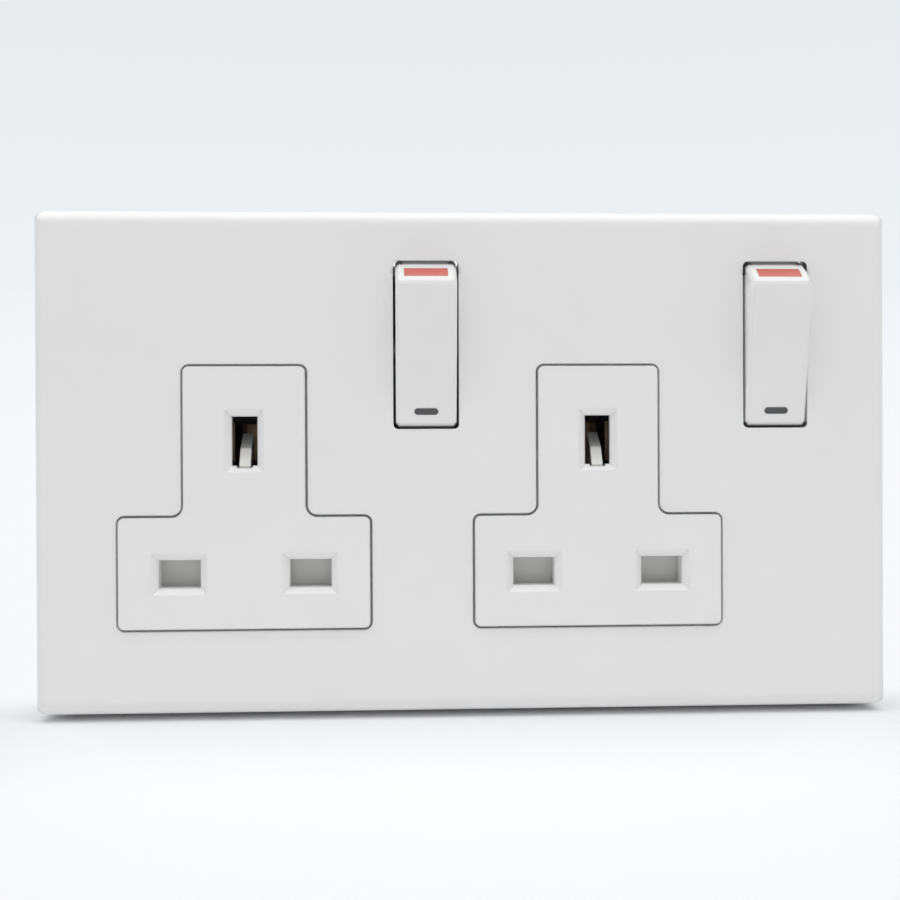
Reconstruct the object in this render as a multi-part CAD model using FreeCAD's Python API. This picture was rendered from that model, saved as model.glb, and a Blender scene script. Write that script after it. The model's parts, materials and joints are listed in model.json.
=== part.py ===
import FreeCAD, Part
import math
import os

# A twin 13 A switched wall socket with a clip-on cover, in millimetres.
# X runs to the right seen from the front, Z up, and -Y towards the user.
# The wall's surface is y = 0, and the origin is midway between the two fixing holes.

# Cover plate
LEFT_MARGIN = 13.9
RIGHT_MARGIN = 14.03
END_MARGIN = 8.29
FACE_PROJECTION = 9.5
COVER_WALL = 1.8
COVER_REAR_GAP = 0.3
LONG_EDGE_RADIUS = 2.4
SHORT_EDGE_RADIUS = 1.0
CORNER_RADIUS = 2.2
SNAP_INSET = 25.0
SNAP_WIDTH = 6.0
SNAP_DEPTH = 0.9
SNAP_ROOT = 0.2
SNAP_Y = (-3.0, -1.4)

# Socket faces
SOCKET_PITCH = 60.57
T_UPPER_WIDTH = 20.65
T_LOWER_WIDTH = 42.6
T_TOP_Z = 16.32
T_SHOULDER_Z = -9.38
T_BOTTOM_Z = -28.33
T_PROUD = 0.4
T_WALL = 2.0
T_SIDE_WALL = 1.3
T_OUTER_RADIUS = 1.0
T_INNER_RADIUS = 2.0
T_GAP = 0.4

# Pin layout of a 13 A outlet
PIN_SPACING = 22.23
LINE_Z = -18.81
SLOT_SHIFT = 0.2
LINE_SLOT = (7.1, 4.8)
EARTH_SLOT = (4.35, 8.4)
SLOT_CHAMFER = 1.1
PIN_REACH = 17.7
EARTH_PIN_LEAD = 5.0

# Rockers
ROCKER_OFFSET = 31.0
ROCKER_Z = 19.96
ROCKER_WIDTH = 10.4
ROCKER_HALF_CHORD = 12.17
ROCKER_FACE_REACH = 9.8
ROCKER_REAR_REACH = -1.5
ROCKER_LUG_HALF = 3.5
ROCKER_LUG_REACH = 2.2
ROCKER_WALL = 1.4
ROCKER_EDGE_CHAMFER = 0.35
ROCKER_CORNER_CHAMFER = 0.5
WELL_CORNER_RADIUS = 0.85
PIVOT_DEPTH = 7.5
ROCKER_TILT = 10.1
ROCKER_SIDE_GAP = 0.42
ROCKER_END_GAP = 0.6
CHEEK_GAP = 0.15
CHEEK_WALL = 1.5
CHEEK_HALF_HEIGHT = 5.0
CHEEK_REACH = 3.5
POST_WALL = 1.0
POST_CLEARANCE = 5.2
TRUNNION_RADIUS = 1.7
RUNNING_FIT = 0.05

# Front moulding and rear housing
COVER_FIT = 0.3
DECK_THICKNESS = 2.0
DECK_GAP = 0.05
RIM_WALL = 1.6
HOUSING_INSET = 9.9
HOUSING_WALL = 1.8
HOUSING_CORNER_RADIUS = 2.0
LUG_ROOM = 5.1
LUG_HALF_HEIGHT = 8.6
SEAT_GAP = 0.3
BAY_WALL = 1.4
BAY_LIP = 0.7
PAD_SIZE = (4.0, 3.0)

# Fixing holes for M3.5 screws
FIXING_INSET = 12.7
FIXING_RADIUS = 1.95
FIXING_FLOOR = 3.0
FIXING_POCKET_RADIUS = 3.5
FIXING_TUBE_RADIUS = 4.2

# Shutters
COLLAR_DEPTH = 4.6
COLLAR_WALL = 0.9
SHUTTER_GAP = 0.15
SHUTTER_THICKNESS = 2.2
SHUTTER_LAP = 0.5
SHUTTER_STROKE = 5.4
SHUTTER_SIDE_ROOM = 0.2
RAIL_WALL = 1.2
RAIL_LIP = 1.0
RAIL_TOP = 5.5
LEDGE_SIZE = (3.6, 1.3)
STEM_WIDTH = 6.0
FIN_WIDTH = 1.9
FIN_ROOM = 0.4
FIN_DEPTH = 1.2
FIN_TOP_Z = 5.02
FIN_FOOT_Z = -0.6
FIN_NOSE = (1.85, 3.0)
FIN_FOOT_LENGTH = 2.2
FIN_STEM_DROP = 4.4
SHUTTER_SPRING_RADIUS = 1.5
SHUTTER_SPRING_SEAT = 0.75
SHUTTER_SPRING_ROOM = 0.8

# Contacts and straps
METAL_THICKNESS = 0.8
LEAF = 0.7
STRAP_WIDTH = 4.8
STRAP_ROOM = 0.35
NEUTRAL_RUN_DROP = 7.0
LINE_CLIP_WIDTH = 6.0
EARTH_CLIP_WIDTH = 7.0
LINE_CLIP_GAP = 1.1
EARTH_CLIP_GAP = 2.0
CLIP_GRIP = 1.75
CLIP_ROOM = 2.15
CLIP_FLARE = 0.5
CLIP_WAIST = 0.3
RIDGE_HALF = 0.7
RIDGE_RISE = 0.97
LINE_PIN_ROOM = 1.4
EARTH_PIN_ROOM = 0.2
ARM_THICKNESS = 1.0
ARM_WIDTH = 4.4
ARM_RATIO = 0.8
ARM_END = 1.6
ARM_LOWER_REACH = 8.0
TIP_REACH = 10.2
TIP_WIDTH = 2.8
TIP_THICKNESS = 0.8
FIXED_TIP_THICKNESS = 0.9
FIXED_TIP_MARGIN = 0.2
PLUNGER_START = 0.5
PLUNGER_BLADE_LENGTH = 2.5
PLUNGER_TIP_RADIUS = 1.0
PLUNGER_TIP_WIDTH = 1.8
ROCKER_SPRING_START = -4.0
ROCKER_SPRING_ROOM = 0.15
PLUNGER_RADIUS = 1.4
PLUNGER_FIT = 0.08
PLUNGER_GAP = 0.03

# Coloured inserts in a rocker
FLAG_ANGLES = (56.7, 65.9)
FLAG_WIDTH = 7.4
FLAG_THICKNESS = 0.6
MARK_SIZE = (4.1, 1.15)
MARK_THICKNESS = 0.3
MARK_LIFT = 2.3

# Terminals and screws
TERMINAL_SIZE = 8.0
TERMINAL_HEIGHT = 9.0
TERMINAL_DEPTH = 7.8
TERMINAL_LEAD = 3.19
TERMINAL_OFFSETS = {"earth_left": 13.8, "neutral": -7.65, "earth_right": 1.25, "live": 13.1}
WIRE_BORE_RADIUS = 2.2
WIRE_BORE_DEPTH = 7.5
WIRE_BORE_INSET = 3.0
TERMINAL_SCREW_RADIUS = 2.0
TERMINAL_SCREW_SUNK = 0.4
SCREW_SLOT = (0.8, 0.9)
SCREW_RADIUS = 1.45
SCREW_HEAD_RADIUS = 2.8
SCREW_HEAD_HEIGHT = 1.65
SCREW_SEAT_Y = 2.35
SCREW_TIP_Y = -4.9
PILLAR_WIDTH = 8.0
BOSS_WIDTH = 5.2
PILLAR_FRONT_Y = -0.65
HEAD_ROOM = 0.25
SHANK_ROOM = 0.2
HEAD_RECESS = (3.2, 0.7, 0.9)
LEFT_SCREW_INSET = (8.6, 8.9)
RIGHT_SCREW_INSET = (6.6, 9.4)
UPPER_SCREW_RISE = 6.5
MIDDLE_SCREW_DROP = 4.3

# Sizes that follow from the ones above
FACE_Y = -FACE_PROJECTION
PLATE_WIDTH = LEFT_MARGIN + T_LOWER_WIDTH / 2 + SOCKET_PITCH + ROCKER_OFFSET + ROCKER_WIDTH / 2 + RIGHT_MARGIN
HOUSING_HALF_HEIGHT = ROCKER_Z + TIP_REACH + STRAP_WIDTH / 2 + STRAP_ROOM + HOUSING_WALL
PLATE_HEIGHT = 2 * (HOUSING_HALF_HEIGHT + END_MARGIN)
HOUSING_HALF_WIDTH = PLATE_WIDTH / 2 - HOUSING_INSET
FIXING_X = PLATE_WIDTH / 2 - FIXING_INSET
LUG_EDGE_X = FIXING_X - LUG_ROOM
SNAP_X = PLATE_WIDTH / 2 - SNAP_INSET
T_FACE_Y = FACE_Y - T_PROUD
T_BACK_Y = T_FACE_Y + T_WALL
DECK_FRONT_Y = FACE_Y + COVER_WALL + DECK_GAP
DECK_BACK_Y = DECK_FRONT_Y + DECK_THICKNESS
COLLAR_BACK_Y = T_FACE_Y + COLLAR_DEPTH
SHUTTER_FRONT_Y = COLLAR_BACK_Y + SHUTTER_GAP
SHUTTER_BACK_Y = SHUTTER_FRONT_Y + SHUTTER_THICKNESS
EARTH_Z = LINE_Z + PIN_SPACING
PIN_X = PIN_SPACING / 2
PIVOT_Y = FACE_Y + PIVOT_DEPTH
ROCKER_RADIUS = math.hypot(ROCKER_HALF_CHORD, ROCKER_FACE_REACH)
RIM_WIDTH = PLATE_WIDTH - 2 * (COVER_WALL + COVER_FIT)
RIM_HEIGHT = PLATE_HEIGHT - 2 * (COVER_WALL + COVER_FIT)
LEFT_SOCKET_X = LEFT_MARGIN + (T_LOWER_WIDTH - PLATE_WIDTH) / 2
SOCKETS = {"left": LEFT_SOCKET_X, "right": LEFT_SOCKET_X + SOCKET_PITCH}
ROCKERS = {side: x + ROCKER_OFFSET for side, x in SOCKETS.items()}
NEUTRAL_PINS = {side: x - PIN_X for side, x in SOCKETS.items()}
LIVE_PINS = {side: x + PIN_X for side, x in SOCKETS.items()}
TERMINALS = {
    "earth_left": SOCKETS["left"] + TERMINAL_OFFSETS["earth_left"],
    "neutral": NEUTRAL_PINS["right"] + TERMINAL_OFFSETS["neutral"],
    "earth_right": SOCKETS["right"] + TERMINAL_OFFSETS["earth_right"],
    "live": LIVE_PINS["right"] + TERMINAL_OFFSETS["live"],
}
TERMINAL_BOTTOM_Z = HOUSING_WALL + TERMINAL_LEAD - HOUSING_HALF_HEIGHT
TERMINAL_TOP_Z = TERMINAL_BOTTOM_Z + TERMINAL_HEIGHT
TERMINAL_Z = (TERMINAL_TOP_Z + TERMINAL_BOTTOM_Z) / 2
SCREW_PLACES = [
    (LEFT_SCREW_INSET[0] - HOUSING_HALF_WIDTH, HOUSING_HALF_HEIGHT - LEFT_SCREW_INSET[1]),
    (SOCKETS["right"], T_TOP_Z + UPPER_SCREW_RISE),
    (LEFT_SOCKET_X + SOCKET_PITCH / 2, T_SHOULDER_Z - MIDDLE_SCREW_DROP),
    (HOUSING_HALF_WIDTH - RIGHT_SCREW_INSET[0], RIGHT_SCREW_INSET[1] - HOUSING_HALF_HEIGHT),
]
MARK_Z = MARK_LIFT - ROCKER_HALF_CHORD
CHEEK_INNER = ROCKER_WIDTH / 2 + ROCKER_SIDE_GAP + CHEEK_GAP
LINE_STRAP_Y = T_FACE_Y + PIN_REACH + LINE_PIN_ROOM + METAL_THICKNESS
EARTH_STRAP_Y = T_FACE_Y + PIN_REACH + EARTH_PIN_LEAD + EARTH_PIN_ROOM + METAL_THICKNESS
ARM_AXIS_Y = LINE_STRAP_Y - RIDGE_RISE - ARM_THICKNESS / 2
ARM_UPPER_REACH = TIP_REACH + ARM_END
PLUNGER_REACH = ARM_AXIS_Y - ARM_THICKNESS / 2 - PLUNGER_GAP - PLUNGER_TIP_RADIUS - PIVOT_Y
PLUNGER_SHANK = (PLUNGER_START, PLUNGER_REACH - PLUNGER_BLADE_LENGTH)
POST_REACH = PLUNGER_REACH - POST_CLEARANCE
ARM_TILT = ARM_RATIO * ROCKER_TILT
TIP_BACK_Y = ARM_AXIS_Y + (ARM_THICKNESS / 2 + TIP_THICKNESS) * math.cos(math.radians(ARM_TILT))
TIP_BACK_Y = TIP_BACK_Y + (TIP_REACH + TIP_WIDTH / 2) * math.sin(math.radians(ARM_TILT))
FIXED_TIP_Y = TIP_BACK_Y + RUNNING_FIT
FEED_STRAP_Y = FIXED_TIP_Y + FIXED_TIP_THICKNESS
FLOOR_Y = FEED_STRAP_Y + TERMINAL_DEPTH
HOUSING_DEPTH = FLOOR_Y + HOUSING_WALL
WIRE_BORE_Y = FEED_STRAP_Y + WIRE_BORE_INSET

# How nearly two edges or places agree
SAME_PLACE = 0.01
PARALLEL = 0.999

X_AXIS = FreeCAD.Vector(1, 0, 0)
Y_AXIS = FreeCAD.Vector(0, 1, 0)


def block(x, y, z):
    """A box from three (low, high) pairs."""
    size = (x[1] - x[0], y[1] - y[0], z[1] - z[0])
    return Part.makeBox(*size, FreeCAD.Vector(x[0], y[0], z[0]))


def centred(middle_x, width, y, middle_z, height):
    """A box centred in X and Z."""
    x = (middle_x - width / 2, middle_x + width / 2)
    z = (middle_z - height / 2, middle_z + height / 2)
    return block(x, y, z)


def rod(radius, x, y, z):
    """A cylinder along Y between two y values."""
    return Part.makeCylinder(radius, y[1] - y[0], FreeCAD.Vector(x, y[0], z), Y_AXIS)


def cross_rod(radius, x, y, z):
    """A cylinder along X between two x values."""
    return Part.makeCylinder(radius, x[1] - x[0], FreeCAD.Vector(x[0], y, z), X_AXIS)


def upright_rod(radius, x, y, z):
    """A cylinder along Z between two z values."""
    return Part.makeCylinder(radius, z[1] - z[0], FreeCAD.Vector(x, y, z[0]))


def prism_x(points, x):
    """A prism along X from (y, z) points."""
    corners = [FreeCAD.Vector(x[0], y, z) for y, z in points]
    return Part.Face(Part.makePolygon(corners + corners[:1])).extrude(X_AXIS * (x[1] - x[0]))


def prism_y(points, y):
    """A prism along Y from (x, z) points."""
    corners = [FreeCAD.Vector(x, y[0], z) for x, z in points]
    return Part.Face(Part.makePolygon(corners + corners[:1])).extrude(Y_AXIS * (y[1] - y[0]))


def prism_z(points, z):
    """A prism along Z from (x, y) points."""
    corners = [FreeCAD.Vector(x, y, z[0]) for x, y in points]
    up = FreeCAD.Vector(0, 0, z[1] - z[0])
    return Part.Face(Part.makePolygon(corners + corners[:1])).extrude(up)


def octagon(radius):
    """The corners of an eight-sided outline inside a circle."""
    turns = [math.radians(45 * i + 22.5) for i in range(8)]
    return [(radius * math.cos(turn), radius * math.sin(turn)) for turn in turns]


def joined(solids):
    """One solid from several that touch or overlap."""
    return solids[0].fuse(solids[1:]).removeSplitter()


def edges_along(shape, axis):
    """The straight edges of a shape that run along one axis."""
    found = []
    for edge in shape.Edges:
        straight = isinstance(edge.Curve, Part.Line)
        if straight and abs(edge.tangentAt(edge.FirstParameter).dot(axis)) > PARALLEL:
            found.append(edge)
    return found


def edges_at_y(shape, y):
    """The edges of a shape that lie in one plane across Y."""
    box = [(edge, edge.BoundBox) for edge in shape.Edges]
    return [edge for edge, b in box if abs(b.YMin - y) < SAME_PLACE and abs(b.YMax - y) < SAME_PLACE]


def t_block(x, grow, y):
    """The T outline of a socket face, grown outwards on every side, with sharp corners."""
    upper = T_UPPER_WIDTH / 2 + grow
    lower = T_LOWER_WIDTH / 2 + grow
    top, shoulder, bottom = T_TOP_Z + grow, T_SHOULDER_Z + grow, T_BOTTOM_Z - grow
    half = [(upper, top), (upper, shoulder), (lower, shoulder), (lower, bottom)]
    return prism_y([(x + a, z) for a, z in half] + [(x - a, z) for a, z in reversed(half)], y)


def t_prism(x, grow, y):
    """The grown T outline with its corners rounded."""
    solid = t_block(x, grow, y)
    upper, shoulder = T_UPPER_WIDTH / 2 + grow, T_SHOULDER_Z + grow

    def shoulder_edges(wanted):
        found = []
        for edge in edges_along(solid, Y_AXIS):
            place = edge.CenterOfMass
            concave = abs(abs(place.x - x) - upper) < SAME_PLACE and abs(place.z - shoulder) < SAME_PLACE
            if concave == wanted:
                found.append(edge)
        return found

    solid = solid.makeFillet(T_OUTER_RADIUS + grow, shoulder_edges(False))
    return solid.makeFillet(T_INNER_RADIUS - grow, shoulder_edges(True))


def slot_cutter(x, z, size, y_end):
    """A pin slot through a socket face, with its lead-in chamfer."""
    def rim(width, height, y):
        corners = [(-width, -height), (width, -height), (width, height), (-width, height)]
        points = [FreeCAD.Vector(x + a / 2, y, z + b / 2) for a, b in corners]
        return Part.makePolygon(points + points[:1])
    wide = rim(size[0] + 2 * SLOT_CHAMFER, size[1] + 2 * SLOT_CHAMFER, T_FACE_Y)
    narrow = rim(size[0], size[1], T_FACE_Y + SLOT_CHAMFER)
    funnel = Part.makeLoft([wide, narrow], True, True)
    return funnel.fuse(centred(x, size[0], (T_FACE_Y, y_end), z, size[1]))


def end_arcs(shape):
    """The curved edges between the side walls and the round ends of a drum slice."""
    return [edge for edge in shape.Edges if isinstance(edge.Curve, Part.Circle)]


def rocker_well(x, y):
    """The space that a rocker swings in: a slice of a drum about its pivot."""
    half = ROCKER_WIDTH / 2 + ROCKER_SIDE_GAP
    reach = ROCKER_RADIUS + ROCKER_END_GAP
    drum = cross_rod(reach, (x - half, x + half), PIVOT_Y, ROCKER_Z)
    return drum.common(centred(x, 2 * half, y, ROCKER_Z, 2 * reach))


def well_rim(x, y):
    """The outline of a rocker's opening at one depth: a rectangle with round corners."""
    inset = WELL_CORNER_RADIUS
    half = ROCKER_WIDTH / 2 + ROCKER_SIDE_GAP - inset
    height = math.sqrt((ROCKER_RADIUS + ROCKER_END_GAP) ** 2 - (y - PIVOT_Y) ** 2) - inset
    arcs = []
    for quarter, (a, b) in enumerate([(1, 1), (-1, 1), (-1, -1), (1, -1)]):
        turns = [math.radians(90 * quarter + step) for step in (0, 45, 90)]
        across = [x + a * half + inset * math.cos(turn) for turn in turns]
        up = [ROCKER_Z + b * height + inset * math.sin(turn) for turn in turns]
        arcs.append([FreeCAD.Vector(px, y, pz) for px, pz in zip(across, up)])
    edges = []
    for arc, following in zip(arcs, arcs[1:] + arcs[:1]):
        edges += [Part.Arc(*arc).toShape(), Part.makeLine(arc[-1], following[0])]
    return Part.Wire(edges)


def cover_well(x):
    """A rocker's opening through the cover, whose ends slope away as the rocker's swing needs."""
    return Part.makeLoft([well_rim(x, FACE_Y), well_rim(x, DECK_FRONT_Y)], True, True)


def snap_places():
    """The cover's four snap hooks: (x, sign of z)."""
    return [(x, side) for x in (-SNAP_X, SNAP_X) for side in (-1, 1)]


def cover_plate():
    """A shallow tray with rounded long edges, two T openings and two rocker openings."""
    y = (FACE_Y, -COVER_REAR_GAP)
    slab = centred(0, PLATE_WIDTH, y, 0, PLATE_HEIGHT)
    long_edges = [e for e in edges_along(slab, X_AXIS) if abs(e.CenterOfMass.y - FACE_Y) < SAME_PLACE]
    upright = FreeCAD.Vector(0, 0, 1)
    short_edges = [e for e in edges_along(slab, upright) if abs(e.CenterOfMass.y - FACE_Y) < SAME_PLACE]
    shell = slab.makeFillet(LONG_EDGE_RADIUS, long_edges)
    shell = shell.common(slab.makeFillet(SHORT_EDGE_RADIUS, short_edges))
    shell = shell.common(slab.makeFillet(CORNER_RADIUS, edges_along(slab, Y_AXIS)))
    inside = (FACE_Y + COVER_WALL, 0)
    shell = shell.cut(centred(0, PLATE_WIDTH - 2 * COVER_WALL, inside, 0, PLATE_HEIGHT - 2 * COVER_WALL))
    through = (T_FACE_Y, DECK_FRONT_Y)
    for side, x in SOCKETS.items():
        shell = shell.cut(t_prism(x, T_GAP, through))
        shell = shell.cut(cover_well(ROCKERS[side]))
    skirt = PLATE_HEIGHT / 2 - COVER_WALL
    root, tip = skirt + SNAP_ROOT, skirt - SNAP_DEPTH
    for x, side in snap_places():
        hook = [(SNAP_Y[0], side * root), (SNAP_Y[0], side * tip), (SNAP_Y[1], side * root)]
        shell = shell.fuse(prism_x(hook, (x - SNAP_WIDTH / 2, x + SNAP_WIDTH / 2)))
    return shell.removeSplitter()


def fixing_pocket(x):
    """The tube for a fixing screw, closed at the wall by the floor that the screw pulls on."""
    return rod(FIXING_TUBE_RADIUS, x, (DECK_BACK_Y, 0), 0)


def shutter_guides(x):
    """Two rails that a shutter slides between, and the ledge under its spring."""
    edge = shutter_half_width() + SHUTTER_SIDE_ROOM
    width, height = LEDGE_SIZE
    solids = [centred(x, width, (T_BACK_Y, SHUTTER_BACK_Y), T_BOTTOM_Z + height / 2, height)]
    rail_back = SHUTTER_BACK_Y + RAIL_WALL
    for side in (-1, 1):
        z = (T_BOTTOM_Z, LINE_Z + RAIL_TOP)
        near, far = x + side * edge, x + side * (edge + RAIL_WALL)
        solids.append(block(sorted((near, far)), (T_BACK_Y, rail_back), z))
        lip = x + side * (edge - RAIL_LIP)
        solids.append(block(sorted((lip, far)), (SHUTTER_BACK_Y + SHUTTER_GAP, rail_back), z))
    return solids


def line_slot_z():
    """The middle height of the line slots, which sit a little low of the pins."""
    return LINE_Z - SLOT_SHIFT


def rocker_bearing(x):
    """Two cheeks behind the deck that a rocker's trunnions drop into."""
    z = (ROCKER_Z - CHEEK_HALF_HEIGHT, ROCKER_Z + CHEEK_HALF_HEIGHT)
    cheeks = []
    for side in (-1, 1):
        near, far = x + side * CHEEK_INNER, x + side * (CHEEK_INNER + CHEEK_WALL)
        cheeks.append(block(sorted((near, far)), (DECK_BACK_Y, PIVOT_Y + CHEEK_REACH), z))
    return cheeks


def trunnion_slot(x):
    """The bearing slot across both cheeks, open to the rear for fitting the rocker."""
    reach = CHEEK_INNER + 2 * CHEEK_WALL
    radius = TRUNNION_RADIUS + RUNNING_FIT
    axle = cross_rod(radius, (x - reach, x + reach), PIVOT_Y, ROCKER_Z)
    return axle.fuse(centred(x, 2 * reach, (PIVOT_Y, PIVOT_Y + 2 * CHEEK_REACH), ROCKER_Z, 2 * radius))


def front_moulding():
    """The white carcass: deck and rim, socket faces with their slots, rocker bearings, fixing pockets."""
    deck = centred(0, RIM_WIDTH, (DECK_FRONT_Y, 0), 0, RIM_HEIGHT)
    inner = (DECK_BACK_Y, 0)
    body = deck.cut(centred(0, RIM_WIDTH - 2 * RIM_WALL, inner, 0, RIM_HEIGHT - 2 * RIM_WALL))
    for x in SOCKETS.values():
        body = body.fuse(t_prism(x, 0, (T_FACE_Y, DECK_BACK_Y)))
    for x in SOCKETS.values():
        body = body.cut(t_block(x, -T_SIDE_WALL, (T_BACK_Y, DECK_BACK_Y)))
    additions = []
    for side, x in SOCKETS.items():
        for pin_x in (NEUTRAL_PINS[side], LIVE_PINS[side]):
            width, height = (s + 2 * COLLAR_WALL for s in LINE_SLOT)
            additions.append(centred(pin_x, width, (T_BACK_Y, COLLAR_BACK_Y), line_slot_z(), height))
        additions += shutter_guides(x) + rocker_bearing(ROCKERS[side])
    boss_y = (DECK_BACK_Y, PILLAR_FRONT_Y)
    additions += [centred(x, BOSS_WIDTH, boss_y, z, BOSS_WIDTH) for x, z in SCREW_PLACES]
    additions += [fixing_pocket(x) for x in (-FIXING_X, FIXING_X)]
    body = joined([body] + additions)
    cutters = []
    for side, x in SOCKETS.items():
        for pin_x in (NEUTRAL_PINS[side], LIVE_PINS[side]):
            cutters.append(slot_cutter(pin_x, line_slot_z(), LINE_SLOT, COLLAR_BACK_Y))
        cutters.append(slot_cutter(x, EARTH_Z + SLOT_SHIFT, EARTH_SLOT, DECK_BACK_Y))
        groove = (FIN_FOOT_Z - FIN_FOOT_LENGTH - SHUTTER_STROKE - 2 * FIN_ROOM, EARTH_Z)
        groove_y = (T_FACE_Y + FIN_DEPTH - FIN_ROOM, T_BACK_Y)
        cutters.append(centred(x, FIN_WIDTH + 2 * FIN_ROOM, groove_y, sum(groove) / 2, groove[1] - groove[0]))
    for x in ROCKERS.values():
        cutters.append(rocker_well(x, (DECK_FRONT_Y - COVER_WALL, DECK_BACK_Y)))
        cutters.append(trunnion_slot(x))
    for x, z in SCREW_PLACES:
        cutters.append(rod(SCREW_RADIUS + RUNNING_FIT, x, (SCREW_TIP_Y - SHANK_ROOM, PILLAR_FRONT_Y), z))
    for x in (-FIXING_X, FIXING_X):
        cutters.append(rod(FIXING_POCKET_RADIUS, x, (DECK_FRONT_Y, -FIXING_FLOOR), 0))
        cutters.append(rod(FIXING_RADIUS, x, (-FIXING_FLOOR, 0), 0))
    rim = RIM_HEIGHT / 2
    for x, side in snap_places():
        z = sorted((side * (rim - RIM_WALL), side * rim))
        half = SNAP_WIDTH / 2 + SEAT_GAP
        cutters.append(block((x - half, x + half), (SNAP_Y[0] - 2 * SEAT_GAP, 0), z))
    for cutter in cutters:
        body = body.cut(cutter)
    return body.removeSplitter()


def housing_outline(inset):
    """The housing's outline from behind, stepped in at both sides to clear the box's lugs."""
    x, z = HOUSING_HALF_WIDTH - inset, HOUSING_HALF_HEIGHT - inset
    step_x, step_z = LUG_EDGE_X - inset, LUG_HALF_HEIGHT + inset
    half = [(x, z), (x, step_z), (step_x, step_z), (step_x, -step_z), (x, -step_z), (x, -z)]
    return half + [(-a, b) for a, b in reversed(half)]


def strap_pads():
    """The housing's supports under the straps: (x, z, y where the strap's back rests)."""
    live_back = LINE_STRAP_Y + METAL_THICKNESS
    pads = [(NEUTRAL_PINS[side], neutral_run_z(), live_back) for side in SOCKETS]
    pads += [(LIVE_PINS[side], ROCKER_Z - ARM_LOWER_REACH, live_back) for side in SOCKETS]
    pads += [(ROCKERS[side], ROCKER_Z, live_back) for side in SOCKETS]
    pads += [(ROCKERS[side], ROCKER_Z + TIP_REACH, FEED_STRAP_Y + METAL_THICKNESS) for side in SOCKETS]
    pads += [(x, EARTH_Z, EARTH_STRAP_Y + METAL_THICKNESS) for x in SOCKETS.values()]
    return pads


def terminal_bay(x):
    """The walls that hold a terminal block at its sides, and the one in front of its wire channel."""
    front = LINE_STRAP_Y + METAL_THICKNESS + SEAT_GAP
    inner = TERMINAL_SIZE / 2 + SEAT_GAP
    walls = []
    for side in (-1, 1):
        near, far = x + side * inner, x + side * (inner + BAY_WALL)
        walls.append(block(sorted((near, far)), (front, FLOOR_Y), (-HOUSING_HALF_HEIGHT, TERMINAL_TOP_Z)))
    z = (-HOUSING_HALF_HEIGHT, TERMINAL_BOTTOM_Z - SEAT_GAP)
    walls.append(block((x - inner, x + inner), (front, front + BAY_WALL), z))
    return walls


def bay_window(x):
    """The opening that shows a terminal's screw from behind and its wire bore from below."""
    half = TERMINAL_SIZE / 2 - BAY_LIP
    low = WIRE_BORE_Y - WIRE_BORE_RADIUS - BAY_LIP
    width = (x - half, x + half)
    floor = block(width, (FLOOR_Y, HOUSING_DEPTH), (-HOUSING_HALF_HEIGHT, TERMINAL_TOP_Z - BAY_LIP))
    return floor.fuse(block(width, (low, FLOOR_Y), (-HOUSING_HALF_HEIGHT, TERMINAL_BOTTOM_Z)))


def rear_housing():
    """The tray behind the deck, with screw pillars, strap supports and open terminal bays."""
    body = prism_y(housing_outline(0), (DECK_BACK_Y, HOUSING_DEPTH))
    inner_z = HOUSING_HALF_HEIGHT - HOUSING_WALL
    corners = [edge for edge in edges_along(body, Y_AXIS) if abs(edge.CenterOfMass.z) > inner_z]
    body = body.makeFillet(HOUSING_CORNER_RADIUS, corners)
    body = body.cut(prism_y(housing_outline(HOUSING_WALL), (DECK_BACK_Y, FLOOR_Y)))
    swing = 2 * (ROCKER_RADIUS + ROCKER_END_GAP)
    swing_y = (DECK_BACK_Y, PIVOT_Y + TRUNNION_RADIUS)
    for x in ROCKERS.values():
        body = body.cut(centred(x, 2 * CHEEK_INNER, swing_y, ROCKER_Z, swing))
    pillar_y = (PILLAR_FRONT_Y, FLOOR_Y)
    additions = [centred(x, PILLAR_WIDTH, pillar_y, z, PILLAR_WIDTH) for x, z in SCREW_PLACES]
    width, height = PAD_SIZE
    additions += [centred(x, width, (y, FLOOR_Y), z, height) for x, z, y in strap_pads()]
    for x in TERMINALS.values():
        additions += terminal_bay(x)
    body = joined([body] + additions)
    well = 2 * (SCREW_HEAD_RADIUS + HEAD_ROOM)
    for x, z in SCREW_PLACES:
        body = body.cut(centred(x, well, (SCREW_SEAT_Y, HOUSING_DEPTH), z, well))
        body = body.cut(rod(SCREW_RADIUS + SHANK_ROOM, x, (PILLAR_FRONT_Y, SCREW_SEAT_Y), z))
    for x in TERMINALS.values():
        body = body.cut(bay_window(x))
    return body.removeSplitter()


def housing_screws():
    """Four cross-head screws that hold the housing to the front moulding."""
    screws = []
    for x, z in SCREW_PLACES:
        screw = rod(SCREW_RADIUS, x, (SCREW_TIP_Y, SCREW_SEAT_Y), z)
        head_back = SCREW_SEAT_Y + SCREW_HEAD_HEIGHT
        screw = screw.fuse(rod(SCREW_HEAD_RADIUS, x, (SCREW_SEAT_Y, head_back), z))
        length, width, depth = HEAD_RECESS
        recess = (head_back - depth, head_back)
        screw = screw.cut(centred(x, length, recess, z, width))
        screws.append(screw.cut(centred(x, width, recess, z, length)))
    return Part.makeCompound(screws)


def shutter_half_width():
    """Half the width of a shutter: it laps both line slots."""
    return PIN_X + LINE_SLOT[0] / 2 + 2 * SHUTTER_LAP


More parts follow.
